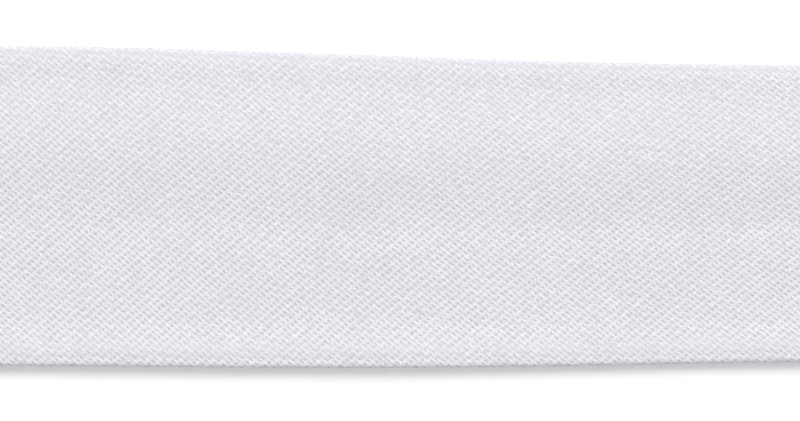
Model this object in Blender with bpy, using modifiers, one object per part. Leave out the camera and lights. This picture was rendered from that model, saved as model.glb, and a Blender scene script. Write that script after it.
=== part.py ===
"""Cut length of single-fold bias tape, lying flat with its folds down.

The tape is one strip of cloth. Both long edges are turned under towards the middle, so a cross-section
is a flat C: one top layer, a fold at each side, and two flaps that almost meet underneath.
X runs along the tape, Y across it and Z up. The origin is on the resting surface, under the middle of the tape.
"""

import math
from typing import NamedTuple

import bmesh
import bpy

MM = 0.001

# Driving dimensions
TAPE_LENGTH = 60 * MM
CLOTH_THICKNESS = 1.0 * MM
LAYER_GAP = 0.3 * MM

# Steps of the sheet before it is folded
LENGTH_STEPS = 30
FLAP_STEPS = 4
FOLD_STEPS = 6
TOP_STEPS = 20

CLOTH_COLOUR = (0.80, 0.79, 0.84, 1.0)
CLOTH_ROUGHNESS = 0.9


class Section(NamedTuple):
    """One cross-section of the tape, all in millimetres: its place, its sizes and the top layer's rise."""

    along: float
    middle: float
    width: float
    lower_flap: float
    upper_flap: float
    upper_crest: float
    hollow: float
    lower_crest: float
    lower_dip: float
    lower_shoulder: float


SECTIONS = (
    Section(-30, 0.085, 20.50, 9.0, 9.3, 0.11, -0.07, 0.02, -0.04, 0.06),
    Section(-20, 0.010, 20.48, 9.1, 9.3, 0.12, -0.06, 0.02, -0.04, 0.06),
    Section(-10, -0.165, 20.30, 9.0, 9.2, 0.12, -0.07, 0.01, -0.04, 0.08),
    Section(0, -0.335, 20.00, 8.9, 9.1, 0.11, -0.06, 0.01, -0.05, 0.07),
    Section(10, -0.445, 19.55, 8.8, 8.8, 0.12, -0.03, 0.00, -0.07, 0.03),
    Section(20, -0.445, 19.15, 8.6, 8.7, 0.12, -0.06, 0.02, -0.09, 0.05),
    Section(30, -0.405, 18.90, 8.5, 8.6, 0.12, -0.08, 0.02, -0.06, 0.06),
)

# Where each rise of the top layer lies, as a share of the half width, from the lower fold to the upper one
LOWER_FOLD_AT = -0.94
LOWER_SHOULDER_AT = -0.84
LOWER_DIP_AT = -0.58
LOWER_CREST_AT = -0.22
HOLLOW_AT = -0.02
UPPER_CREST_AT = 0.40
UPPER_FOLD_AT = 0.94


def smooth_between(stops, values, at):
    """Value at a place on the smooth curve through the stops, which are in rising order."""
    last = len(stops) - 1
    at = min(max(at, stops[0]), stops[last])
    left = 0
    while left < last - 1 and at > stops[left + 1]:
        left += 1
    slopes = []
    for here in (left, left + 1):
        before, after = max(here - 1, 0), min(here + 1, last)
        slopes.append((values[after] - values[before]) / (stops[after] - stops[before]))
    step = stops[left + 1] - stops[left]
    t = (at - stops[left]) / step
    return (
        (2 * t**3 - 3 * t**2 + 1) * values[left]
        + (t**3 - 2 * t**2 + t) * step * slopes[0]
        + (3 * t**2 - 2 * t**3) * values[left + 1]
        + (t**3 - t**2) * step * slopes[1]
    )


def section_at(along):
    """The section, in metres, at a distance along the tape from its middle."""
    stops = [row.along * MM for row in SECTIONS]
    columns = zip(*SECTIONS)
    return Section(*(smooth_between(stops, [v * MM for v in column], along) for column in columns))


def top_rise(section, across, half_width):
    """How far the top layer stands above its flat level, at a place across the section."""
    stops = (
        -1.0,
        LOWER_FOLD_AT,
        LOWER_SHOULDER_AT,
        LOWER_DIP_AT,
        LOWER_CREST_AT,
        HOLLOW_AT,
        UPPER_CREST_AT,
        UPPER_FOLD_AT,
        1.0,
    )
    rises = (
        0.0,
        0.0,
        section.lower_shoulder,
        section.lower_dip,
        section.lower_crest,
        section.hollow,
        section.upper_crest,
        0.0,
        0.0,
    )
    return smooth_between(stops, rises, across / half_width)


def folded_path(section):
    """Points (y, z) down the middle of the cloth, from the lower raw edge round both folds to the upper one."""
    fold_radius = (CLOTH_THICKNESS + LAYER_GAP) / 2
    flap_z = CLOTH_THICKNESS / 2
    top_z = flap_z + 2 * fold_radius
    half_width = (section.width - CLOTH_THICKNESS) / 2
    bend_y = half_width - fold_radius
    lower_raw_edge = section.lower_flap - section.width / 2
    upper_raw_edge = section.width / 2 - section.upper_flap

    path = []
    for step in range(FLAP_STEPS):
        share = step / FLAP_STEPS
        path.append((lower_raw_edge + share * (-bend_y - lower_raw_edge), flap_z))
    for step in range(FOLD_STEPS):
        turn = math.pi * step / FOLD_STEPS
        path.append((-bend_y - fold_radius * math.sin(turn), flap_z + fold_radius * (1 - math.cos(turn))))
    for step in range(TOP_STEPS):
        y = bend_y * (2 * step / TOP_STEPS - 1)
        path.append((y, top_z + top_rise(section, y, half_width)))
    for step in range(FOLD_STEPS):
        turn = math.pi * step / FOLD_STEPS
        path.append((bend_y + fold_radius * math.sin(turn), top_z - fold_radius * (1 - math.cos(turn))))
    for step in range(FLAP_STEPS + 1):
        share = step / FLAP_STEPS
        path.append((bend_y + share * (upper_raw_edge - bend_y), flap_z))
    return [(section.middle + y, z) for y, z in path]


def clear_scene():
    """Remove every object, so that the file holds the tape alone."""
    for thing in list(bpy.data.objects):
        bpy.data.objects.remove(thing, do_unlink=True)


def cloth_material():
    """White woven cotton."""
    material = bpy.data.materials.new("white_cotton")
    material.use_nodes = True
    shader = material.node_tree.nodes["Principled BSDF"]
    shader.inputs["Base Color"].default_value = CLOTH_COLOUR
    shader.inputs["Roughness"].default_value = CLOTH_ROUGHNESS
    shader.inputs["Metallic"].default_value = 0.0
    material.diffuse_color = CLOTH_COLOUR
    return material


def folded_sheet():
    """A flat grid with each row of points moved to its place on the folded section."""
    section_steps = 2 * (FLAP_STEPS + FOLD_STEPS) + TOP_STEPS
    sheet = bmesh.new()
    bmesh.ops.create_grid(sheet, x_segments=LENGTH_STEPS, y_segments=section_steps, size=0.5)
    paths = []
    for step in range(LENGTH_STEPS + 1):
        along = TAPE_LENGTH * (step / LENGTH_STEPS - 0.5)
        paths.append((along, folded_path(section_at(along))))
    for vert in sheet.verts:
        along, path = paths[round((vert.co.x + 0.5) * LENGTH_STEPS)]
        y, z = path[round((vert.co.y + 0.5) * section_steps)]
        vert.co = (along, y, z)
    bmesh.ops.recalc_face_normals(sheet, faces=sheet.faces)
    mesh = bpy.data.meshes.new("bias_tape")
    sheet.to_mesh(mesh)
    sheet.free()
    return mesh


def build():
    """The tape: a folded sheet given its thickness."""
    clear_scene()
    collection = bpy.data.collections.new("bias_tape")
    bpy.context.scene.collection.children.link(collection)
    mesh = folded_sheet()
    mesh.materials.append(cloth_material())
    mesh.shade_smooth()
    tape = bpy.data.objects.new("bias_tape", mesh)
    collection.objects.link(tape)
    thicken = tape.modifiers.new("cloth_thickness", "SOLIDIFY")
    thicken.thickness = CLOTH_THICKNESS
    thicken.offset = 0.0
    thicken.use_even_offset = True
    thicken.use_rim = True


build()
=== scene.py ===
"""Looks of a cut length of white single-fold bias tape, woven yarn by yarn.

The tape lies flat with its two folds down. Sizes here are in millimetres until a mesh is made. X runs
along the tape, Y across it and Z up. A place on the unfolded strip is (run, across): run goes along the
strip, and across goes from its middle towards the upper raw edge.
"""

import logging
import math
from collections.abc import Sequence
from dataclasses import dataclass
from enum import Enum
from functools import cached_property
from typing import NamedTuple

import bpy
import numpy as np
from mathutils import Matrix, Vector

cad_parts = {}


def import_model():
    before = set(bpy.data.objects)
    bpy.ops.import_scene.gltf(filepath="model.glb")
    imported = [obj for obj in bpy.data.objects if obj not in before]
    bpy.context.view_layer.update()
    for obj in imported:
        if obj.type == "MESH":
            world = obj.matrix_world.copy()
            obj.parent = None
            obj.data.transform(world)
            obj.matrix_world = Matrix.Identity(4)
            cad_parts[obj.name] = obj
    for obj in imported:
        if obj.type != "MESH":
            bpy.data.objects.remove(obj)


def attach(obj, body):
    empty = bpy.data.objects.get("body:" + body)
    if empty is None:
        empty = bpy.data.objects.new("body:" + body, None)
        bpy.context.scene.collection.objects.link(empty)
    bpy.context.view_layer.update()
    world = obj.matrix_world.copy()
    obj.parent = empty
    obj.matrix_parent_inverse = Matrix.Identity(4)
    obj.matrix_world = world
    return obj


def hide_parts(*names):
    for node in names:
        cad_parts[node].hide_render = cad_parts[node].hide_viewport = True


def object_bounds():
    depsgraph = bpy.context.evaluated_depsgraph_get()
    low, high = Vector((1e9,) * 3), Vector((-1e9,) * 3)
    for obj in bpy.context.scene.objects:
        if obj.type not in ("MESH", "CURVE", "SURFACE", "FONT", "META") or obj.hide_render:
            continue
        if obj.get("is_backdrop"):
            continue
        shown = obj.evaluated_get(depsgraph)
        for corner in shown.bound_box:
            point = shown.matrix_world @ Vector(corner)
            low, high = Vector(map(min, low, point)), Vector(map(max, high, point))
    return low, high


LOG = logging.getLogger("bias_tape")

Array = np.ndarray
Sockets = dict[str | int, bpy.types.NodeSocket]
Values = dict[str | int, object]

MM = 0.001
BODY = "root"
NODE = "bias_tape"

# What each mesh carries: the map that its finish is laid out on, the run along its yarns, and their tone,
# which on the yarns and the felt also holds painted light and shade
BAKE_MAP = "OFBake"
RUN_MAP = "yarn_run"
TONE_AND_PAINTED_LIGHT = "yarn_tone_and_painted_light"


class YarnDirection(Enum):
    """The two ways that yarns run across the face side, seen from above."""

    FALLING = -1
    RISING = 1


class Section(NamedTuple):
    """One cross-section of the tape: its place, its sizes and the rises of its top layer."""

    along: float
    middle: float
    width: float
    upper_crest: float
    hollow: float
    lower_crest: float
    lower_dip: float
    lower_shoulder: float


SECTIONS = (
    Section(-30, 0.065, 20.65, 0.22, -0.06, -0.07, -0.16, -0.05),
    Section(-20, 0.015, 20.63, 0.23, -0.06, -0.07, -0.17, -0.05),
    Section(-10, -0.170, 20.43, 0.235, -0.07, -0.08, -0.18, -0.03),
    Section(0, -0.340, 20.13, 0.235, -0.08, -0.08, -0.20, -0.05),
    Section(10, -0.450, 19.70, 0.245, -0.07, -0.08, -0.23, -0.11),
    Section(20, -0.450, 19.32, 0.255, -0.09, -0.08, -0.25, -0.14),
    Section(30, -0.405, 19.10, 0.255, -0.10, -0.08, -0.23, -0.13),
)

# Where each rise of the top layer lies, as a share of the half width, from the lower fold to the upper one
RISE_STOPS = (-1.0, -0.90, -0.70, -0.26, -0.07, 0.38, 0.78, 0.90, 1.0)


def smooth_between(stops: Sequence[float], values: Sequence[float] | Array, at: Array) -> Array:
    """Read the smooth curve through the stops at many places.

    Args:
        stops: Places of the known values, in rising order.
        values: One value a stop, or one row a stop with a column for each place.
        at: Places to read.

    Returns:
        The curve's value at each place.
    """
    stops = np.asarray(stops, float)
    values = np.asarray(values, float)
    last = len(stops) - 1
    at = np.clip(at, stops[0], stops[last])
    left = np.clip(np.searchsorted(stops, at, side="right") - 1, 0, last - 1)
    before = np.maximum(left - 1, 0)
    after = np.minimum(left + 2, last)
    column = np.arange(at.size)

    def value(index: Array) -> Array:
        """Value of each place's own stop."""
        return values[index] if values.ndim == 1 else values[index, column]

    step = stops[left + 1] - stops[left]
    t = (at - stops[left]) / step
    slope_left = (value(left + 1) - value(before)) / (stops[left + 1] - stops[before])
    slope_right = (value(after) - value(left)) / (stops[after] - stops[left])
    return (
        (2 * t**3 - 3 * t**2 + 1) * value(left)
        + (t**3 - 2 * t**2 + t) * step * slope_left
        + (3 * t**2 - 2 * t**3) * value(left + 1)
        + (t**3 - t**2) * step * slope_right
    )


def ease(share: Array) -> Array:
    """Share from 0 to 1 with a soft start and end."""
    share = np.clip(share, 0.0, 1.0)
    return share * share * (3.0 - 2.0 * share)


def drift(rng: np.random.Generator, count: int, cell: float) -> Array:
    """Random values about zero that change smoothly along a row.

    Args:
        rng: The seeded source of chance.
        count: How many values to make.
        cell: How many values lie between two knots of the curve.

    Returns:
        The values, with a spread of about one.
    """
    at = np.arange(count) / cell
    left = at.astype(int)
    knots = rng.standard_normal(left[-1] + 2)
    share = ease(at - left)
    return knots[left] * (1 - share) + knots[left + 1] * share


def drift_over(rng: np.random.Generator, rows: int, columns: int, cell: float) -> Array:
    """Random values about zero that change smoothly over a grid.

    Args:
        rng: The seeded source of chance.
        rows: Number of rows.
        columns: Number of columns.
        cell: How many values lie between two knots.

    Returns:
        A grid of values, with a spread of about one.
    """
    across = np.array([drift(rng, columns, cell) for _ in range(int(rows / cell) + 2)])
    at = np.arange(rows) / cell
    left = at.astype(int)
    share = ease(at - left)[:, None]
    return across[left] * (1 - share) + across[left + 1] * share


def unit(vectors: Array) -> Array:
    """Vectors of length one with the same directions."""
    return vectors / np.maximum(np.linalg.norm(vectors, axis=1, keepdims=True), 1e-12)


@dataclass
class TapeForm:
    """The folded shape of the strip, and the way from a place on the flat strip to a point in space.

    A fold drops by its own height, and the flap after it sinks to the floor over flap_fall. The margins
    say how much longer and wider than the tape its tables reach.
    """

    length: float = 60.0
    nominal_width: float = 20.0
    bias_angle: float = math.radians(39.6)
    face_depth: float = 0.030
    lower_fold_drop: float = 0.52
    upper_fold_drop: float = 0.42
    top_height: float = 1.36
    lower_fall: float = -0.15
    upper_falls: tuple[float, float, float] = (0.02, 0.0, -0.13)
    flap_fall: float = 4.5
    lower_raw_edge: float = -19.2
    upper_raw_edge: float = 19.4
    wave_height: float = 0.010
    wave_cell: float = 2.5
    wave_steps: int = 8
    length_margin: float = 1.1
    width_margin: float = 1.2
    turn_margin: float = 0.1
    run_steps: int = 660
    fold_steps: int = 240
    face_step: float = 0.03
    seed: int = 11

    @cached_property
    def run_table(self) -> tuple[Array, Array]:
        """Runs along the strip, and the places along the tape where they lie.

        The two yarn directions hinge at their crossings, so the cloth gets longer where it is drawn in.

        Returns:
            The runs and the places, both in rising order.
        """
        half = self.length * self.length_margin / 2
        along = np.linspace(-half, half, self.run_steps + 1)
        drawn = self.section_values(along, "width") / self.nominal_width
        angle = np.arcsin(drawn * math.sin(self.bias_angle))
        longer = np.cos(angle) / math.cos(self.bias_angle)
        steps = np.diff(along) * 2 / (longer[1:] + longer[:-1])
        run = np.concatenate([[0.0], np.cumsum(steps)])
        return run - np.interp(0.0, along, run), along

    @cached_property
    def fold_curve(self) -> tuple[Array, Array, Array]:
        """A fold that drops by one, seen from the end.

        It bends softly at first and most sharply halfway round.

        Returns:
            Distances round the fold, and how far out and how far down each of them lies.
        """
        share = np.linspace(0.0, 1.0, self.fold_steps + 1)
        turn = math.pi * share - np.sin(2 * math.pi * share) / 2
        between = (turn[1:] + turn[:-1]) / 2
        out = np.concatenate([[0.0], np.cumsum(np.cos(between))])
        down = np.concatenate([[0.0], np.cumsum(np.sin(between))])
        size = 1 / down[-1]
        return share * size * len(between), out * size, down * size

    def fold_drop(self, side: Array) -> Array:
        """How far down the fold takes the cloth, on the lower side (less than zero) or the upper one."""
        return np.where(np.less(side, 0), self.lower_fold_drop, self.upper_fold_drop)

    def fold_length(self, side: Array) -> Array:
        """Length of cloth in the fold of each side."""
        return self.fold_curve[0][-1] * self.fold_drop(side)

    def flat_half(self, width: Array, side: Array) -> Array:
        """How far the flat top reaches from the tape's middle, for a folded width and a side."""
        return width / 2 - self.face_depth - self.fold_curve[1].max() * self.fold_drop(side)

    def turning(self, across: Array) -> Array:
        """Whether each place across the strip lies in a fold."""
        half_fold = self.fold_length(np.sign(across)) / 2
        past_flat = np.abs(across) - self.flat_half(self.nominal_width, np.sign(across))
        return np.abs(past_flat - half_fold) < half_fold + self.turn_margin

    @cached_property
    def waves(self) -> Array:
        """Slight unevenness of the top layer.

        Returns:
            Heights on a grid over the tape, a row across its width and a column along it.
        """
        rng = np.random.default_rng(self.seed)
        rows = int(self.nominal_width * self.width_margin / self.wave_cell * self.wave_steps)
        columns = int(self.length * self.length_margin / self.wave_cell * self.wave_steps)
        return drift_over(rng, rows, columns, self.wave_steps) * self.wave_height

    @cached_property
    def run_limits(self) -> tuple[float, float]:
        """Runs of the two cut ends."""
        run, along = self.run_table
        return tuple(float(np.interp(side * self.length / 2, along, run)) for side in (-1, 1))

    @property
    def flat_width(self) -> float:
        """Width of the strip before it was folded."""
        return self.upper_raw_edge - self.lower_raw_edge

    def section_values(self, along: Array, name: str) -> Array:
        """One column of the section table, read at many places along the tape."""
        return smooth_between([s.along for s in SECTIONS], [getattr(s, name) for s in SECTIONS], along)

    def rise(self, along: Array, share: Array) -> Array:
        """How far the top layer stands above its flat level.

        Args:
            along: Places along the tape.
            share: Places across it, as a share of the half width.

        Returns:
            The rise at each place.
        """
        names = ("lower_shoulder", "lower_dip", "lower_crest", "hollow", "upper_crest")
        rows = [self.section_values(along, name) for name in names]
        rows = [rows[0] + self.lower_fall, *rows, *(np.full_like(along, fall) for fall in self.upper_falls)]
        row = (share / (2 * self.width_margin) + 0.5) * (self.waves.shape[0] - 2)
        column = (along / self.length / self.length_margin + 0.5) * (self.waves.shape[1] - 2)
        r, c = row.astype(int), column.astype(int)
        fr, fc = row - r, column - c
        here = self.waves[r, c] * (1 - fc) + self.waves[r, c + 1] * fc
        beside = self.waves[r + 1, c] * (1 - fc) + self.waves[r + 1, c + 1] * fc
        return smooth_between(RISE_STOPS, np.array(rows), share) + (here * (1 - fr) + beside * fr)

    def place(self, run: Array, across: Array) -> Array:
        """Points down the middle of the cloth.

        Args:
            run: Places along the flat strip.
            across: Places across the flat strip.

        Returns:
            One point in space a place, in millimetres.
        """
        runs, alongs = self.run_table
        along = np.interp(run, runs, alongs)
        width = self.section_values(along, "width")
        path = across * width / self.nominal_width
        side = np.sign(path)
        reach = np.abs(path)
        flat_half = self.flat_half(width, side)
        drop = self.fold_drop(side)
        round_fold, out, down = self.fold_curve
        past_flat = reach - flat_half
        past_fold = np.maximum(past_flat - self.fold_length(side), 0.0)
        flat_reach = np.minimum(reach, flat_half)
        y = side * (flat_reach + drop * np.interp(past_flat / drop, round_fold, out) - past_fold)
        sunk = ease(past_fold / self.flap_fall)
        fall = (self.top_height - drop - self.face_depth) * sunk
        z = self.top_height - drop * np.interp(past_flat / drop, round_fold, down) - fall
        rise = self.rise(along, np.clip(side * flat_reach / (width / 2), -1, 1))
        z = z + rise * (1 - sunk)
        y = y + self.section_values(along, "middle")
        return np.stack([along, y, z], axis=1)

    def face(self, run: Array, across: Array) -> Array:
        """Directions square to the cloth, out of its face side.

        Args:
            run: Places along the flat strip.
            across: Places across the flat strip.

        Returns:
            One direction a place.
        """
        step = self.face_step
        along_cloth = self.place(run + step, across) - self.place(run - step, across)
        across_cloth = self.place(run, across + step) - self.place(run, across - step)
        return unit(np.cross(along_cloth, across_cloth))


# Rings of a tube: how far beside and above its centre each point lies, against its half width and height
FLAT_TOPPED = ((1.0, 0.0), (0.5, 1.0), (-0.5, 1.0), (-1.0, 0.0), (0.0, -5.0))
THREE_SIDED = ((0.87, -0.5), (0.0, 1.0), (-0.87, -0.5))


class Lines(NamedTuple):
    """Many lines of rings, one after another, that tubes are made from."""

    centres: Array
    ups: Array
    half_widths: Array
    half_heights: Array
    tones: Array
    counts: Array

    @property
    def last(self) -> Array:
        """Last ring of each line."""
        return np.cumsum(self.counts) - 1

    @property
    def first(self) -> Array:
        """First ring of each line."""
        return self.last - self.counts + 1

    @property
    def start(self) -> Array:
        """Every ring that another one follows."""
        return np.delete(np.arange(len(self.centres)), self.last)


@dataclass(frozen=True)
class TubeMaker:
    """Turns lines of rings into one mesh of closed tubes.

    The profile is one ring, and the edges along its sharp sides stay crisp. On the bake map a side face
    takes a cell that is cell_aspect times as wide as it is high, and keeps the inset from the next strip.
    """

    profile: tuple[tuple[float, float], ...]
    sharp_sides: tuple[int, ...] = ()
    cell_aspect: float = 1.6
    inset: float = 0.04
    cap_radius: float = 0.4

    @property
    def sides(self) -> int:
        """Number of points in a ring."""
        return len(self.profile)

    def build(self, name: str, lines: Lines) -> bpy.types.Object:
        """Make the tubes as one object.

        Args:
            name: The object's name.
            lines: The rings of every tube.

        Returns:
            The new object, linked to the scene.
        """
        mesh = mesh_of(name, self.points(lines) * MM, *self.faces(lines))
        self.sharpen(mesh)
        add_map(mesh, BAKE_MAP, self.bake_places(lines))
        add_map(mesh, RUN_MAP, self.run_places(lines))
        mesh.uv_layers[BAKE_MAP].active = True
        add_tone(mesh, np.repeat(lines.tones, self.sides))
        return link(name, mesh)

    def sharpen(self, mesh: bpy.types.Mesh) -> None:
        """Mark the edges that run along the tubes' sharp sides.

        Args:
            mesh: The tubes' mesh.
        """
        ends = np.empty(2 * len(mesh.edges), np.int32)
        mesh.edges.foreach_get("vertices", ends)
        sides = ends.reshape(-1, 2) % self.sides
        sharp = (sides[:, 0] == sides[:, 1]) & np.isin(sides[:, 0], self.sharp_sides)
        marks = mesh.attributes.new("sharp_edge", "BOOLEAN", "EDGE")
        marks.data.foreach_set("value", sharp)

    def points(self, lines: Lines) -> Array:
        """Points of every ring, in order round each tube.

        Args:
            lines: The rings of every tube.

        Returns:
            The points, the sides of one ring after those of the ring before.
        """
        ahead = np.roll(lines.centres, -1, axis=0)
        behind = np.roll(lines.centres, 1, axis=0)
        ahead[lines.last] = lines.centres[lines.last]
        behind[lines.first] = lines.centres[lines.first]
        forward = unit(ahead - behind)
        beside = unit(np.cross(forward, lines.ups))
        up = np.cross(beside, forward)
        profile = np.array(self.profile)
        wide = (beside * lines.half_widths[:, None])[:, None, :] * profile[None, :, :1]
        high = (up * lines.half_heights[:, None])[:, None, :] * profile[None, :, 1:]
        return (lines.centres[:, None, :] + wide + high).reshape(-1, 3)

    def faces(self, lines: Lines) -> tuple[Array, Array]:
        """Join each ring to the next, and close both ends of every tube.

        Args:
            lines: The rings of every tube.

        Returns:
            Corners of the four-sided faces, and corners of the caps.
        """
        side = np.arange(self.sides)
        beside = (side + 1) % self.sides
        here = lines.start[:, None] * self.sides
        there = here + self.sides
        corners = np.stack([here + side, here + beside, there + beside, there + side], axis=2)
        opening = lines.first[:, None] * self.sides + side[::-1]
        closing = lines.last[:, None] * self.sides + side
        return corners.reshape(-1, 4), np.concatenate([opening, closing])

    def side_corners(self, here: Array, there: Array, low: Array, high: Array) -> Array:
        """Map places of the corners of every side face, a row of faces for each starting ring.

        Args:
            here: Place along the map of the ring that a face starts from.
            there: Place along the map of the ring that it ends at.
            low: Place up the map of its first side.
            high: Place up the map of its second side.

        Returns:
            One place a corner.
        """
        here, there, low, high = np.broadcast_arrays(here, there, low, high)
        along = np.stack([here, here, there, there], axis=2)
        up = np.stack([low, high, high, low], axis=2)
        return np.stack([along, up], axis=3).reshape(-1, 2)

    def bake_places(self, lines: Lines) -> Array:
        """The map that the finish is laid out on: each tube a strip, its caps at both ends of it.

        Args:
            lines: The rings of every tube.

        Returns:
            One place a corner, those of the caps last.
        """
        counts, start = lines.counts, lines.start
        line_of = np.repeat(np.arange(len(counts)), counts)[start]
        column, row, columns, rows = self.strips(counts)
        left = (column[line_of] + 1 + start - lines.first[line_of])[:, None]
        bottom = (row[line_of] * self.sides)[:, None]
        side = bottom + np.arange(self.sides)
        middle = bottom + self.sides / 2
        squeeze = 1 - 2 * self.inset / self.sides
        low, high = (middle + (edge - middle) * squeeze for edge in (side, side + 1))
        faces = self.side_corners(left + self.inset, left + 1 - self.inset, low, high)
        turn = 2 * math.pi * np.arange(self.sides) / self.sides
        cap = np.stack([np.cos(turn), self.sides * np.sin(turn)], axis=1) * self.cap_radius
        level = (row + 0.5) * self.sides
        opening = np.stack([column + 0.5, level], axis=1)[:, None, :] + cap
        closing = np.stack([column + counts + 0.5, level], axis=1)[:, None, :] + cap
        ends = np.concatenate([opening, closing]).reshape(-1, 2)
        return np.concatenate([faces, ends]) / (columns, rows)

    def run_places(self, lines: Lines) -> Array:
        """The map that says how far along its yarn a place is, and how far round it.

        Args:
            lines: The rings of every tube.

        Returns:
            One place a corner, those of the caps last.
        """
        gaps = np.concatenate([[0.0], np.linalg.norm(np.diff(lines.centres, axis=0), axis=1)])
        gaps[lines.first] = 0.0
        far = np.cumsum(gaps)
        here, there = far[lines.start][:, None], far[lines.start + 1][:, None]
        turn = np.arange(self.sides)[None, :] / self.sides
        faces = self.side_corners(here, there, turn, turn + 1 / self.sides)
        ends = np.repeat(np.concatenate([far[lines.first], far[lines.last]]), self.sides)
        return np.concatenate([faces, np.stack([ends, np.zeros_like(ends)], axis=1)])

    def strips(self, counts: Array) -> tuple[Array, Array, int, int]:
        """Lay the tubes out flat as strips, several to a row where they are short.

        Args:
            counts: Number of rings in each tube.

        Returns:
            Each strip's first column and its row of strips, then the number of columns and of side rows.
        """
        widths = counts + 1
        square = math.sqrt(widths.sum() * self.sides / self.cell_aspect)
        columns = int(max(widths.max(), math.ceil(square)))
        column = np.zeros(len(widths), int)
        row = np.zeros(len(widths), int)
        used: list[int] = []
        for index in np.argsort(-widths, kind="stable"):
            width = int(widths[index])
            shelf = next((n for n, taken in enumerate(used) if taken + width <= columns), len(used))
            if shelf == len(used):
                used.append(0)
            column[index], row[index] = used[shelf], shelf
            used[shelf] += width
        return column, row, columns, len(used) * self.sides


def mesh_of(name: str, points: Array, *face_sets: Array) -> bpy.types.Mesh:
    """Make a smooth mesh from arrays.

    Args:
        name: The mesh's name.
        points: Its points, in metres.
        face_sets: Arrays of faces' corners, each with faces of one number of sides.

    Returns:
        The new mesh.
    """
    mesh = bpy.data.meshes.new(name)
    corners = np.concatenate([faces.ravel() for faces in face_sets]).astype(np.int32)
    sides = np.concatenate([np.full(len(faces), faces.shape[1]) for faces in face_sets])
    starts = np.concatenate([[0], np.cumsum(sides)[:-1]]).astype(np.int32)
    mesh.vertices.add(len(points))
    mesh.vertices.foreach_set("co", points.astype(np.float32).ravel())
    mesh.loops.add(len(corners))
    mesh.loops.foreach_set("vertex_index", corners)
    mesh.polygons.add(len(starts))
    mesh.polygons.foreach_set("loop_start", starts)
    mesh.polygons.foreach_set("use_smooth", np.ones(len(starts), bool))
    mesh.update(calc_edges=True)
    mesh.validate()
    return mesh


def add_map(mesh: bpy.types.Mesh, name: str, places: Array) -> None:
    """Add a map to a mesh, with one place for each corner of each face."""
    layer = mesh.uv_layers.new(name=name)
    layer.uv.foreach_set("vector", places.astype(np.float32).ravel())


def add_tone(mesh: bpy.types.Mesh, tones: Array) -> None:
    """Add a tone for each point of a mesh."""
    tone = mesh.attributes.new(TONE_AND_PAINTED_LIGHT, "FLOAT", "POINT")
    tone.data.foreach_set("value", tones.astype(np.float32).ravel())


def link(name: str, data: bpy.types.ID) -> bpy.types.Object:
    """Make an object from its data and add it to the scene.

    Args:
        name: The object's name.
        data: Its mesh, light or camera.

    Returns:
        The new object.
    """
    thing = bpy.data.objects.new(name, data)
    bpy.context.scene.collection.objects.link(thing)
    return thing


@dataclass(frozen=True)
class Yarn:
    """One family of parallel yarns, as spun and as it lies in the cloth.

    The crimp is how far a yarn rises and sinks about the middle of the cloth. The tone is its share of the
    light colour. Painted light and shade swing it up where the yarn lies on top and down where it lies
    under, and painted shade dips it halfway between two crossings, where the yarn sinks between its
    neighbours.
    """

    name: str
    direction: YarnDirection
    pitch: float
    width: float
    half_height: float
    crimp: float
    tone: float
    painted_light_swing: float
    painted_shade_dip: float = 0.0
    pieces: int = 3


@dataclass
class ClothPart:
    """A part of the cloth, with the form that it follows and its own seeded source of chance."""

    form: TapeForm
    seed: int = 0

    @cached_property
    def rng(self) -> np.random.Generator:
        """The part's source of chance, which it draws from in a fixed order."""
        return np.random.default_rng(self.seed)


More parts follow.
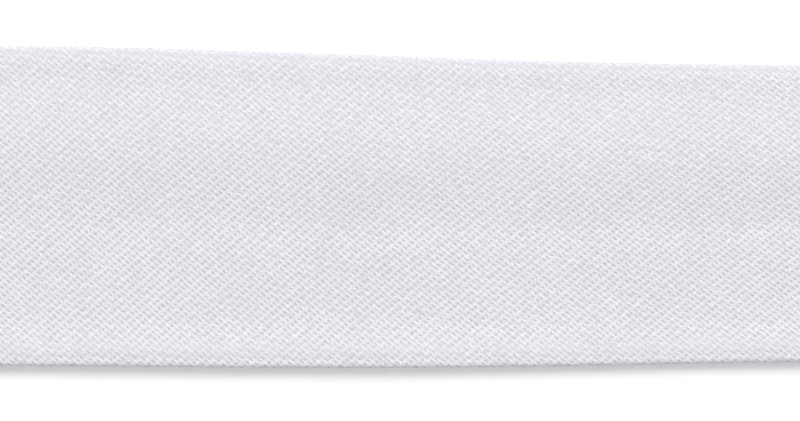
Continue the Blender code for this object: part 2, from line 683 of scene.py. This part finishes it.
@dataclass
class Weave(ClothPart):
    """Plain-woven cloth of two yarn families, each yarn over one and under the next.

    The crossings are moved by uneven spacing from yarn to yarn, by wander over the cloth, and by jitter
    one by one, all in shares of the pitch. A raised bundle's place and reach are in crossings, and its
    rings give a share of the reach and one of the width.
    """

    seed: int = 7
    falling: Yarn = Yarn(
        "falling_yarns",
        YarnDirection.FALLING,
        pitch=0.2836,
        width=0.140,
        half_height=0.009,
        crimp=0.008,
        tone=0.485,
        painted_light_swing=0.20,
    )
    rising: Yarn = Yarn(
        "rising_yarns",
        YarnDirection.RISING,
        pitch=0.446,
        width=0.221,
        half_height=0.006,
        crimp=0.003,
        tone=0.52,
        painted_light_swing=0.125,
        painted_shade_dip=0.29,
    )
    spare_yarns: int = 3
    uneven_spacing: float = 0.022
    wander: float = 0.015
    wander_cell: float = 5.0
    jitter: float = 0.052
    ring_step: float = 0.5
    fewest_rings: int = 3
    uneven_thickness: float = 0.02
    thickness_cell: float = 5.0
    uneven_rings: float = 0.055
    swelling: float = 0.07
    most_swelling: float = 3.0
    slubs_a_yarn: float = 0.8
    slub_half_length: tuple[float, float] = (2.5, 8.0)
    slub_gain: tuple[float, float] = (0.04, 0.16)
    # How far the painted light on the yarns is shifted towards the slope that faces the light, in crossings
    painted_light_shift: float = 0.25
    tone_spread: float = 0.035
    tone_by_thickness: float = 0.2
    tone_grain: float = 0.08
    fray: float = 0.12
    raised_share: float = 0.60
    raised_inset: float = 0.4
    raised_middle: tuple[float, float] = (-0.65, -0.15)
    raised_reach: tuple[float, float] = (0.2, 0.5)
    raised_rings: tuple[tuple[float, float], ...] = ((-1.0, 0.4), (-0.4, 1.0), (0.4, 1.0), (1.0, 0.4))
    raised_width: float = 0.064
    raised_uneven: tuple[float, float] = (0.7, 1.3)
    raised_flatness: float = 0.3
    tubes: TubeMaker = TubeMaker(FLAT_TOPPED, sharp_sides=(0, 3))
    bundles: TubeMaker = TubeMaker(THREE_SIDED)

    @property
    def falling_step(self) -> float:
        """Distance along a falling yarn from one rising yarn to the next."""
        return self.rising.pitch / math.sin(2 * self.form.bias_angle)

    @property
    def rising_step(self) -> float:
        """Distance along a rising yarn from one falling yarn to the next."""
        return self.falling.pitch / math.sin(2 * self.form.bias_angle)

    def crossings(self) -> Array:
        """Places on the flat strip where the yarns cross.

        Returns:
            A place for each falling yarn, by row, and each rising yarn, by column.
        """
        angle = self.form.bias_angle
        reach = max(abs(limit) for limit in self.form.run_limits) / math.cos(angle)
        reach += self.form.flat_width / 2 / math.sin(angle)
        halves = [int(reach / 2 / step) + self.spare_yarns for step in (self.rising_step, self.falling_step)]
        yarns = [np.arange(-half, half + 1, dtype=float) for half in halves]
        yarns = [row + self.uneven_spacing * self.rng.standard_normal(row.size) for row in yarns]
        grid = np.array(np.meshgrid(*yarns, indexing="ij"))
        wander = np.array([drift_over(self.rng, *grid.shape[1:], self.wander_cell) for _ in yarns])
        i, j = grid + self.wander * wander + self.jitter * self.rng.standard_normal(grid.shape)
        run = (i * self.rising_step + j * self.falling_step) * math.cos(angle)
        across = (i * self.rising_step - j * self.falling_step) * math.sin(angle)
        return np.stack([run, across], axis=2)

    def inside(self, places: Array) -> Array:
        """How far inside the strip's outline many places lie.

        Args:
            places: Places on the flat strip.

        Returns:
            The distance from the nearest edge, less than zero outside the strip.
        """
        left, right = self.form.run_limits
        run, across = places[:, 0], places[:, 1]
        from_raw_edges = np.minimum(across - self.form.lower_raw_edge, self.form.upper_raw_edge - across)
        return np.minimum(np.minimum(run - left, right - run), from_raw_edges)

    def stretch(self, places: Array) -> Array | None:
        """Where one yarn's rings lie, counted in crossings from the yarn's first one.

        Args:
            places: The yarn's crossings, some of them outside the strip.

        Returns:
            The counts, from end to end, or None for a yarn that misses the strip.
        """
        counts = np.arange(int((len(places) - 1) / self.ring_step) + 1) * self.ring_step
        turning = self.form.turning(self.read(places, counts[:-1])[:, 1])
        counts = np.sort(np.concatenate([counts, counts[:-1][turning] + self.ring_step / 2]))
        depth = self.inside(self.read(places, counts))
        fray = self.rng.uniform(0.0, self.fray, 2)
        within = np.flatnonzero(depth > self.fray)
        if len(within) < self.fewest_rings:
            return None
        a, b = within[0], within[-1]
        start = np.interp(fray[0], depth[a - 1 : a + 1], counts[a - 1 : a + 1])
        stop = np.interp(fray[1], depth[b : b + 2][::-1], counts[b : b + 2][::-1])
        return np.concatenate([[start], counts[a : b + 1], [stop]])

    def read(self, places: Array, counts: Array) -> Array:
        """Places along a yarn at fractional counts of its crossings."""
        index = np.arange(len(places))
        return np.stack([np.interp(counts, index, places[:, axis]) for axis in (0, 1)], axis=1)

    def thickness(self, counts: Array) -> Array:
        """How thick one yarn is at each ring, against its usual size, with its slubs.

        Between two crossings its fibres spread by chance into the opening beside them.

        Args:
            counts: Where the rings lie, in crossings.

        Returns:
            A factor about one for each ring.
        """
        rng = self.rng
        whole = 1 + self.uneven_thickness * rng.standard_normal()
        local = 1 + 0.5 * self.uneven_thickness * drift(rng, len(counts), self.thickness_cell)
        local = local + self.uneven_rings * rng.uniform(-1.0, 1.0, len(counts))
        swollen = rng.exponential(self.swelling, len(counts))
        swollen = np.minimum(swollen, self.most_swelling * self.swelling)
        local = local + swollen * np.abs(np.sin(math.pi * counts))
        slubs = np.zeros(len(counts))
        for _ in range(rng.poisson(self.slubs_a_yarn)):
            centre = rng.uniform(counts[0], counts[-1])
            half_length = rng.uniform(*self.slub_half_length)
            gain = rng.uniform(*self.slub_gain)
            slubs = np.maximum(slubs, gain * ease(1 - np.abs(counts - centre) / half_length))
        return whole * local + slubs

    def lines(self, yarn: Yarn, crossings: Array) -> list[Lines]:
        """Rings of each yarn of one family.

        Args:
            yarn: The family.
            crossings: Places of all crossings.

        Returns:
            One set of rings a yarn.
        """
        falls = yarn.direction is YarnDirection.FALLING
        grid = crossings if falls else crossings.transpose(1, 0, 2)
        made = []
        for index, places in enumerate(grid):
            counts = self.stretch(places)
            # A yarn that misses the strip still takes its share of chance
            thick = self.thickness(counts if counts is not None else np.arange(3.0))
            if counts is None:
                continue
            over = math.pi * (counts + index + (0 if falls else 1))
            flat = self.read(places, counts)
            up = self.form.face(*flat.T)
            centres = self.form.place(*flat.T) + up * (np.cos(over) * yarn.crimp)[:, None]
            # Painted light and shade: lighter where the yarn lies on top, shifted towards the slope facing
            # the light, darker where it lies under
            tone = yarn.tone + yarn.painted_light_swing * np.cos(over + math.pi * self.painted_light_shift)
            # Painted shade halfway between two crossings, where the yarn dips between its neighbours
            tone = tone - yarn.painted_shade_dip * np.sin(math.pi * counts) ** 2
            tone = tone + self.rng.uniform(-self.tone_spread, self.tone_spread)
            tone = tone + self.tone_by_thickness * (thick - 1)
            tone = tone + self.tone_grain * self.rng.standard_normal(len(counts))
            high = yarn.half_height * np.sqrt(thick)
            rings = np.array([len(counts)])
            made.append(Lines(centres, up, 0.5 * yarn.width * thick, high, tone, rings))
        return made

    # The bundles' light finish is partly painted highlight on the crowns of the falling yarns
    def raised(self, crossings: Array) -> Lines:
        """Bundles of fibre that stand a little proud of the falling yarns where these lie on top.

        Args:
            crossings: Places of all crossings.

        Returns:
            The rings of every bundle.
        """
        rng = self.rng
        i, j = np.indices(crossings.shape[:2])
        over = ((i + j) % 2 == 0) & (rng.random(i.shape) < self.raised_share)
        over[:, :2] = False
        over[:, -2:] = False
        i, j = i[over], j[over]
        inside = self.inside(crossings[i, j]) > self.raised_inset
        i, j = i[inside], j[inside]
        middle = rng.uniform(*self.raised_middle, i.size)
        reach = rng.uniform(*self.raised_reach, i.size)
        centres, ups = [], []
        for step, _ in self.raised_rings:
            at = np.clip(middle + reach * step, -1.0, 1.0)
            beyond = np.where(at > 0, 1, -1)
            flat = crossings[i, j] + np.abs(at)[:, None] * (crossings[i, j + beyond] - crossings[i, j])
            up = self.form.face(*flat.T)
            lift = self.falling.crimp * np.cos(math.pi * at) + self.falling.half_height
            centres.append(self.form.place(*flat.T) + up * lift[:, None])
            ups.append(up)
        count = len(self.raised_rings)
        taper = np.array([share for _, share in self.raised_rings])
        width = (rng.uniform(*self.raised_uneven, i.size)[:, None] * taper * self.raised_width / 2).ravel()
        return Lines(
            np.stack(centres, axis=1).reshape(-1, 3),
            np.stack(ups, axis=1).reshape(-1, 3),
            width,
            width * self.raised_flatness,
            np.repeat(rng.random(i.size), count),
            np.full(i.size, count),
        )

    def build(self) -> list[bpy.types.Object]:
        """Weave the cloth, each family in a few pieces along the tape.

        Returns:
            The yarns' pieces, and last the raised bundles of fibre.
        """
        crossings = self.crossings()
        made = []
        for yarn in (self.falling, self.rising):
            rings = self.lines(yarn, crossings)
            total = sum(len(r.centres) for r in rings)
            share = np.cumsum([len(r.centres) for r in rings]) / total
            group = np.minimum((share * yarn.pieces).astype(int), yarn.pieces - 1)
            for number in range(yarn.pieces):
                chosen = [r for r, g in zip(rings, group) if g == number]
                joined = Lines(*(np.concatenate(column) for column in zip(*chosen)))
                made.append(self.tubes.build(f"{yarn.name}_{number + 1}", joined))
        made.append(self.bundles.build("raised_fibres", self.raised(crossings)))
        return made


@dataclass
class FibreBedWithPaintedShade(ClothPart):
    """The felt of fine fibres between the yarns, down the middle of the cloth.

    Its deep tone is painted shade for the openings between the yarns. It lies depth under the middle, but
    rises to pressed_height where the upper fold presses it. Its tone is the painted shade tone with more of
    the light colour there, over the upper side, on the lower shoulder as painted light against the shade
    of its slope, and on the outside of the lower fold, where the openings get less painted shade.
    """

    seed: int = 5
    run_step: float = 0.5
    across_step: float = 0.5
    fold_steps: int = 18
    fold_slack: float = 0.25
    inset: float = 0.15
    depth: float = 0.015
    painted_shade_tone: float = 0.35
    uneven_tone: float = 0.02
    uneven_cell: float = 3.0
    pressed_tone: float = 0.33
    pressed_height: float = 0.008
    pressed_margin: float = 0.35
    pressed_fade: float = 0.4
    upper_tone: float = 0.12
    upper_reach: float = 8.0
    shoulder_painted_light: float = 0.25
    shoulder_inset: float = 0.6
    shoulder_reach: float = 0.8
    fold_side_less_shade: float = 0.45
    fold_side_at: float = 0.7
    fold_side_reach: float = 0.7

    def across_places(self) -> Array:
        """Choose the grid's places across the strip, closer together round both folds.

        Returns:
            The places, from the lower raw edge to the upper one.
        """
        form, slack = self.form, self.fold_slack
        lower, upper = (float(form.flat_half(form.nominal_width, side)) - slack for side in (-1, 1))
        lower_turn, upper_turn = (float(form.fold_length(side)) + 2 * slack for side in (-1, 1))
        stops = [
            (form.lower_raw_edge + self.inset, -lower - lower_turn, self.across_step),
            (-lower - lower_turn, -lower, lower_turn / self.fold_steps),
            (-lower, upper, self.across_step),
            (upper, upper + upper_turn, upper_turn / self.fold_steps),
            (upper + upper_turn, form.upper_raw_edge - self.inset, self.across_step),
        ]
        rows = [np.linspace(a, b, max(round((b - a) / step), 1) + 1)[:-1] for a, b, step in stops]
        return np.concatenate([*rows, [stops[-1][1]]])

    def pressed(self, across: Array) -> Array:
        """How far the fibres are pressed together by the upper fold.

        Args:
            across: Places across the flat strip.

        Returns:
            A share from 0 to 1 for each place.
        """
        half_fold = self.form.fold_length(1) / 2
        fold_middle = self.form.flat_half(self.form.nominal_width, 1) + half_fold
        past_fold = np.abs(across - fold_middle) - half_fold
        return ease((self.pressed_margin - past_fold) / self.pressed_fade)

    def tones(self, run_count: int, across: Array) -> Array:
        """Share of the light colour over the felt.

        Args:
            run_count: Number of the grid's places along the strip.
            across: The grid's places across the strip.

        Returns:
            A grid of shares, a row for each place along the strip.
        """
        uneven = drift_over(self.rng, run_count, len(across), self.uneven_cell)
        # The felt's base tone is painted shade for the openings between the yarns, varied at random
        tones = self.painted_shade_tone + self.uneven_tone * uneven
        pressed = self.pressed(across)
        past_flat = -across - float(self.form.flat_half(self.form.nominal_width, -1))
        shoulder = np.abs(past_flat + self.shoulder_inset)
        fold_side = np.abs(past_flat - self.fold_side_at * float(self.form.fold_length(-1)))
        tones = tones + self.pressed_tone * pressed
        tones = tones + self.upper_tone * ease(across / self.upper_reach) * (1 - pressed)
        # Painted light on the lower shoulder, against the shade that its slope takes
        tones = tones + self.shoulder_painted_light * ease(1 - shoulder / self.shoulder_reach)
        # Less painted shade in the openings on the outside of the lower fold
        return tones + self.fold_side_less_shade * ease(1 - fold_side / self.fold_side_reach)

    def build(self) -> bpy.types.Object:
        """Make the sheet with its own map.

        Returns:
            The new object, linked to the scene.
        """
        left, right = self.form.run_limits
        left, right = left + self.inset, right - self.inset
        run = np.linspace(left, right, round((right - left) / self.run_step) + 1)
        across = self.across_places()
        grid_run, grid_across = (grid.ravel() for grid in np.meshgrid(run, across, indexing="ij"))
        pressed = self.pressed(grid_across)[:, None]
        depth = self.depth * (1 - pressed) - self.pressed_height * pressed
        points = self.form.place(grid_run, grid_across) - depth * self.form.face(grid_run, grid_across)
        columns = len(across)
        corner = (np.arange(len(run) - 1)[:, None] * columns + np.arange(columns - 1)).ravel()
        faces = np.stack([corner, corner + columns, corner + columns + 1, corner + 1], axis=1)
        mesh = mesh_of("fibre_bed_and_painted_shade", points * MM, faces)
        flat = [(grid_run - left) / (right - left), (grid_across - across[0]) / np.ptp(across)]
        add_map(mesh, BAKE_MAP, np.stack(flat, axis=1)[faces.ravel()])
        add_tone(mesh, self.tones(len(run), across))
        return link("fibre_bed_and_painted_shade", mesh)


@dataclass
class LooseFibres(ClothPart):
    """Short fibre ends that stand off the yarns, most of them where the cloth is folded or cut.

    Each starts a little off the face, lifts to an arch of its own height and bends to one side by its curl.
    """

    seed: int = 23
    on_face: int = 900
    on_folds: int = 420
    on_cut_ends: int = 160
    on_raw_edges: int = 160
    round_fold: tuple[float, float] = (0.1, 0.8)
    points: int = 5
    thickness: float = 0.014
    tip: float = 0.35
    length: tuple[float, float] = (0.25, 0.9)
    start_height: float = 0.09
    lift: tuple[float, float] = (0.05, 0.35)
    arch: float = 2.4
    curl: float = 0.35
    tubes: TubeMaker = TubeMaker(THREE_SIDED)

    def roots(self) -> tuple[Array, Array]:
        """Places on the flat strip where the fibres start.

        Returns:
            Their runs and their places across.
        """
        form, rng = self.form, self.rng
        left, right = form.run_limits
        bend = form.flat_half(form.nominal_width, -1)
        sides = rng.choice([-1.0, 1.0], self.on_folds)
        round_fold = rng.uniform(*self.round_fold, self.on_folds) * form.fold_length(sides)
        folds = sides * (form.flat_half(form.nominal_width, sides) + round_fold)
        raw_edges = form.lower_raw_edge, form.upper_raw_edge
        raw = np.where(rng.random(self.on_raw_edges) < 0.5, *raw_edges)
        face_runs, fold_runs = (rng.uniform(left, right, count) for count in (self.on_face, self.on_folds))
        cut_ends = np.where(rng.random(self.on_cut_ends) < 0.5, left, right)
        runs = [face_runs, fold_runs, cut_ends, rng.uniform(left, right, self.on_raw_edges)]
        on_face = rng.uniform(-bend, bend, self.on_face)
        across = [on_face, folds, rng.uniform(*raw_edges, self.on_cut_ends), raw]
        return np.concatenate(runs), np.concatenate(across)

    def build(self) -> bpy.types.Object:
        """Make all the fibres as one object of fine tubes.

        Returns:
            The new object, linked to the scene.
        """
        rng = self.rng
        run, across = self.roots()
        count = len(run)
        root = self.form.place(run, across)
        up = self.form.face(run, across)
        heading = rng.uniform(0, 2 * math.pi, count)
        flat = np.stack([np.cos(heading), np.sin(heading), np.zeros(count)], axis=1)
        flat = unit(flat - up * (flat * up).sum(axis=1, keepdims=True))
        bend_to = unit(np.cross(up, flat))
        length = rng.uniform(*self.length, count)[:, None]
        lift = rng.uniform(*self.lift, count)[:, None]
        curl = rng.normal(0.0, self.curl, count)[:, None]
        rows = []
        for t in np.linspace(0.0, 1.0, self.points):
            off = up * (self.start_height + lift * math.sin(t * self.arch) * length)
            rows.append(root + off + flat * length * t + bend_to * curl * length * t * t)
        centres = np.stack(rows, axis=1).reshape(-1, 3)
        centres[:, 2] = np.maximum(centres[:, 2], self.thickness / 2)
        taper = np.tile(np.linspace(1.0, self.tip, self.points), count) * self.thickness / 2
        ups, tones = (np.repeat(values, self.points, axis=0) for values in (up, rng.random(count)))
        lines = Lines(centres, ups, taper, taper, tones, np.full(count, self.points))
        return self.tubes.build("loose_fibres", lines)


def fill(node: bpy.types.Node, values: Values) -> None:
    """Set values of a node's inputs, by their names or numbers."""
    for name, value in values.items():
        node.inputs[name].default_value = value


@dataclass(frozen=True)
class Nodes:
    """Adds nodes to one node tree, with their values and links."""

    tree: bpy.types.NodeTree

    def add(
        self, kind: str, links: Sockets | None = None, values: Values | None = None, **settings: object
    ) -> bpy.types.Node:
        """Add one node.

        Args:
            kind: The node's type name.
            links: Output sockets to join, by the name or number of the new node's input.
            values: Values to set, by the name or number of the new node's input.
            settings: The node's own properties.

        Returns:
            The new node.
        """
        node = self.tree.nodes.new(kind)
        for name, value in settings.items():
            setattr(node, name, value)
        fill(node, values or {})
        for name, socket in (links or {}).items():
            self.tree.links.new(socket, node.inputs[name])
        return node

    def math(
        self, operation: str, links: Sockets, values: Values | None = None, **settings: object
    ) -> bpy.types.NodeSocket:
        """Output of a new Math node."""
        return self.add("ShaderNodeMath", links, values, operation=operation, **settings).outputs[0]


@dataclass(frozen=True)
class SpunFibre:
    """The twist and loose fibre of a spun yarn, as a group that several finishes share."""

    name: str = "spun_fibre"
    patch_scale: float = 260.0
    fibre_share: float = 0.93
    ridge_turns: float = 2.0

    def group(self) -> bpy.types.ShaderNodeTree:
        """The group, made the first time that it is asked for.

        Returns:
            A group that turns a place on a yarn into a tone and a height, both from 0 to 1.
        """
        if self.name in bpy.data.node_groups:
            return bpy.data.node_groups[self.name]
        tree = bpy.data.node_groups.new(self.name, "ShaderNodeTree")
        sockets = tree.interface
        sockets.new_socket("Run", in_out="INPUT", socket_type="NodeSocketVector")
        for name, usual in (("Twists", 4.0), ("Fibre Scale", 9000.0), ("Twist Share", 0.5)):
            sockets.new_socket(name, in_out="INPUT", socket_type="NodeSocketFloat").default_value = usual
        for name in ("Tone", "Height"):
            sockets.new_socket(name, in_out="OUTPUT", socket_type="NodeSocketFloat")
        nodes = Nodes(tree)
        given = nodes.add("NodeGroupInput").outputs
        split = nodes.add("ShaderNodeSeparateXYZ", {0: given["Run"]}).outputs
        turns = nodes.math("MULTIPLY", {0: split["X"], 1: given["Twists"]})
        phase = nodes.math("ADD", {0: turns, 1: split["Y"]})
        angle = nodes.math("MULTIPLY", {0: phase}, {1: 2 * math.pi * self.ridge_turns})
        wave = nodes.math("SINE", {0: angle})
        ridge = nodes.math("MULTIPLY_ADD", {0: wave}, {1: 0.5, 2: 0.5})
        where = nodes.add("ShaderNodeTexCoord").outputs["Object"]
        noise = {"Vector": where, "Scale": given["Fibre Scale"]}
        fibre = nodes.add("ShaderNodeTexNoise", noise, {"Detail": 3.0, "Roughness": 0.6}).outputs["Fac"]
        height = nodes.add("ShaderNodeMix", {"Factor": given["Twist Share"], "A": fibre, "B": ridge})
        coarse = {"Scale": self.patch_scale, "Detail": 2.0}
        patch = nodes.add("ShaderNodeTexNoise", {"Vector": where}, coarse)
        mixed = {"A": patch.outputs["Fac"], "B": fibre}
        tone = nodes.add("ShaderNodeMix", mixed, {"Factor": self.fibre_share})
        nodes.add("NodeGroupOutput", {"Tone": tone.outputs["Result"], "Height": height.outputs["Result"]})
        return tree


@dataclass(frozen=True)
class CottonFinish:
    """White cotton, with a light and a deep tone of it.

    The tone change is how far the fibres move a place between the two tones. A yarn has so many twists a
    millimetre, and the fibre has its scale in cells a metre.
    """

    name: str
    light: tuple[float, float, float]
    deep: tuple[float, float, float]
    roughness: float = 0.92
    specular: float = 0.25
    sheen: float = 0.12
    sheen_roughness: float = 0.5
    twists: float = 4.0
    twist_share: float = 0.5
    fibre_scale: float = 9000.0
    tone_change: float = 2.9
    bump: float = 0.8
    bump_height: float = 0.008
    spun: SpunFibre = SpunFibre()

    def material(self) -> bpy.types.Material:
        """Make the material.

        Returns:
            A material that reads the yarn's run and tone from the mesh.
        """
        made = bpy.data.materials.new(self.name)
        made.use_nodes = True
        made.diffuse_color = (*self.light, 1.0)
        nodes = Nodes(made.node_tree)
        shader = made.node_tree.nodes["Principled BSDF"]
        sheen = {"Sheen Weight": self.sheen, "Sheen Roughness": self.sheen_roughness}
        fill(shader, {"Roughness": self.roughness, "Specular IOR Level": self.specular, **sheen})
        run = nodes.add("ShaderNodeUVMap", uv_map=RUN_MAP).outputs["UV"]
        spun = nodes.add("ShaderNodeGroup", node_tree=self.spun.group())
        made.node_tree.links.new(run, spun.inputs["Run"])
        twist = {"Twists": self.twists, "Twist Share": self.twist_share}
        fill(spun, {"Fibre Scale": self.fibre_scale, **twist})
        yarn = nodes.add("ShaderNodeAttribute", attribute_name=TONE_AND_PAINTED_LIGHT).outputs["Fac"]
        about_zero = {1: self.tone_change, 2: -0.5 * self.tone_change}
        change = nodes.math("MULTIPLY_ADD", {0: spun.outputs["Tone"]}, about_zero)
        share = nodes.math("ADD", {0: yarn, 1: change}, use_clamp=True)
        colour = nodes.add("ShaderNodeMix", {"Factor": share}, data_type="RGBA")
        fill(colour, {"A": (*self.deep, 1.0), "B": (*self.light, 1.0)})
        made.node_tree.links.new(colour.outputs["Result"], shader.inputs["Base Color"])
        strength = {"Strength": self.bump, "Distance": self.bump_height * MM}
        bump = nodes.add("ShaderNodeBump", {"Height": spun.outputs["Height"]}, strength)
        made.node_tree.links.new(bump.outputs["Normal"], shader.inputs["Normal"])
        return made


@dataclass(frozen=True)
class Studio:
    """Plain pale floor, soft light from behind the tape, and a camera that looks straight down.

    The sky's strength is its level, with the slope added towards the tape's upper edge and more overhead.
    """

    view_width: float = 51.544
    view_centre: tuple[float, float] = (0.0, -0.235)
    view_level: float = 1.4
    lens: float = 135.0
    sensor: float = 36.0
    nearest_view: float = 0.01
    floor_size: float = 12000.0
    floor_gap: float = 0.01
    floor_colour: tuple[float, float, float] = (0.93, 0.93, 0.93)
    floor_glow: float = 0.105
    sky_colour: tuple[float, float, float] = (0.99, 0.99, 1.0)
    sky_level: float = 0.26
    sky_slope: float = 0.26
    sky_overhead: float = 0.62
    sun_strength: float = 1.35
    sun_elevation: float = 58.0
    sun_size: float = 30.0

    def build(self) -> None:
        """Make the floor, the light and the camera."""
        self.floor()
        self.light()
        self.camera()

    def floor(self) -> None:
        """Lay a pale floor just under the tape."""
        mesh = bpy.data.meshes.new("floor")
        half = self.floor_size / 2 * MM
        corners = [(-half, -half, 0), (half, -half, 0), (half, half, 0), (-half, half, 0)]
        mesh.from_pydata(corners, [], [(0, 1, 2, 3)])
        floor = link("floor", mesh)
        floor.location.z = -self.floor_gap * MM
        paint = bpy.data.materials.new("pale_floor")
        paint.use_nodes = True
        glow = {"Emission Color": (1.0, 1.0, 1.0, 1.0), "Emission Strength": self.floor_glow}
        matt = {"Roughness": 1.0, "Specular IOR Level": 0.0, "Base Color": (*self.floor_colour, 1.0)}
        fill(paint.node_tree.nodes["Principled BSDF"], {**matt, **glow})
        mesh.materials.append(paint)
        floor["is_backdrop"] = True

    def light(self) -> None:
        """Make an even pale sky and one soft light above the tape's upper edge."""
        scene = bpy.context.scene
        scene.world = bpy.data.worlds.new("studio")
        scene.world.use_nodes = True
        tree = scene.world.node_tree
        sky = tree.nodes["Background"]
        fill(sky, {"Color": (*self.sky_colour, 1.0)})
        nodes = Nodes(tree)
        way = nodes.add("ShaderNodeTexCoord").outputs["Generated"]
        split = nodes.add("ShaderNodeSeparateXYZ", {0: way}).outputs
        sideways = nodes.math("MULTIPLY_ADD", {0: split["Y"]}, {1: self.sky_slope, 2: self.sky_level})
        upward = nodes.math("MULTIPLY_ADD", {0: split["Z"], 2: sideways}, {1: self.sky_overhead})
        strength = nodes.math("MAXIMUM", {0: upward}, {1: 0.0})
        tree.links.new(strength, sky.inputs["Strength"])
        lamp = bpy.data.lights.new("key_light", "SUN")
        lamp.energy = self.sun_strength
        lamp.angle = math.radians(self.sun_size)
        key = link("key_light", lamp)
        key.rotation_euler = (math.radians(self.sun_elevation - 90), 0.0, 0.0)
        scene.view_settings.view_transform = "Standard"

    def camera(self) -> None:
        """Set a camera straight above, as far off as its lens needs for the photo's view."""
        lens = bpy.data.cameras.new("camera")
        lens.lens = self.lens
        lens.sensor_width = self.sensor
        lens.clip_start = self.nearest_view
        camera = link("camera", lens)
        far = self.view_width * self.lens / self.sensor
        x, y = self.view_centre
        camera.location = (x * MM, y * MM, (self.view_level + far) * MM)
        bpy.context.scene.camera = camera


# The yarns' tone between deep and light holds painted light and shade as well as random tone
YARN_FINISH = CottonFinish("spun_cotton", light=(0.930, 0.918, 0.975), deep=(0.700, 0.690, 0.733))
# The felt's deep colour is painted shade for the openings between the yarns
BED_AND_SHADE_FINISH = CottonFinish(
    "fibre_felt_and_painted_shade",
    light=(0.870, 0.858, 0.911),
    deep=(0.495, 0.489, 0.520),
    twist_share=0.0,
    fibre_scale=6000.0,
    tone_change=0.9,
)
# White of loose fibre, which on the raised bundles is also painted highlight on the yarn crowns
LOOSE_AND_HIGHLIGHT_FINISH = CottonFinish("loose_cotton_and_painted_highlight", light=(0.95, 0.94, 0.99), deep=(0.90, 0.89, 0.94), bump=0.0)


def dress(piece: bpy.types.Object, finish: bpy.types.Material) -> None:
    """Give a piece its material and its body.

    Args:
        piece: The piece.
        finish: Its material.
    """
    piece.data.materials.append(finish)
    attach(piece, BODY)
    LOG.info("%s: %d faces", piece.name, len(piece.data.polygons))


def main() -> None:
    """Build the tape's pieces in order, then the studio."""
    logging.basicConfig(level=logging.INFO, format="%(name)s: %(message)s")
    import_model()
    cad_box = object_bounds()
    form = TapeForm()
    *yarns, raised = Weave(form).build()
    yarn_finish = YARN_FINISH.material()
    for piece in yarns:
        dress(piece, yarn_finish)
    loose_and_highlight_finish = LOOSE_AND_HIGHLIGHT_FINISH.material()
    dress(raised, loose_and_highlight_finish)
    bed = FibreBedWithPaintedShade(form).build()
    dress(bed, BED_AND_SHADE_FINISH.material())
    fibres = LooseFibres(form).build()
    dress(fibres, loose_and_highlight_finish)
    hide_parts(NODE)
    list(yarns)
    Studio().build()
    boxes = {"cad": cad_box, "visual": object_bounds()}
    {name: [list(corner) for corner in box] for name, box in boxes.items()}


if __name__ == "__main__":
    main()
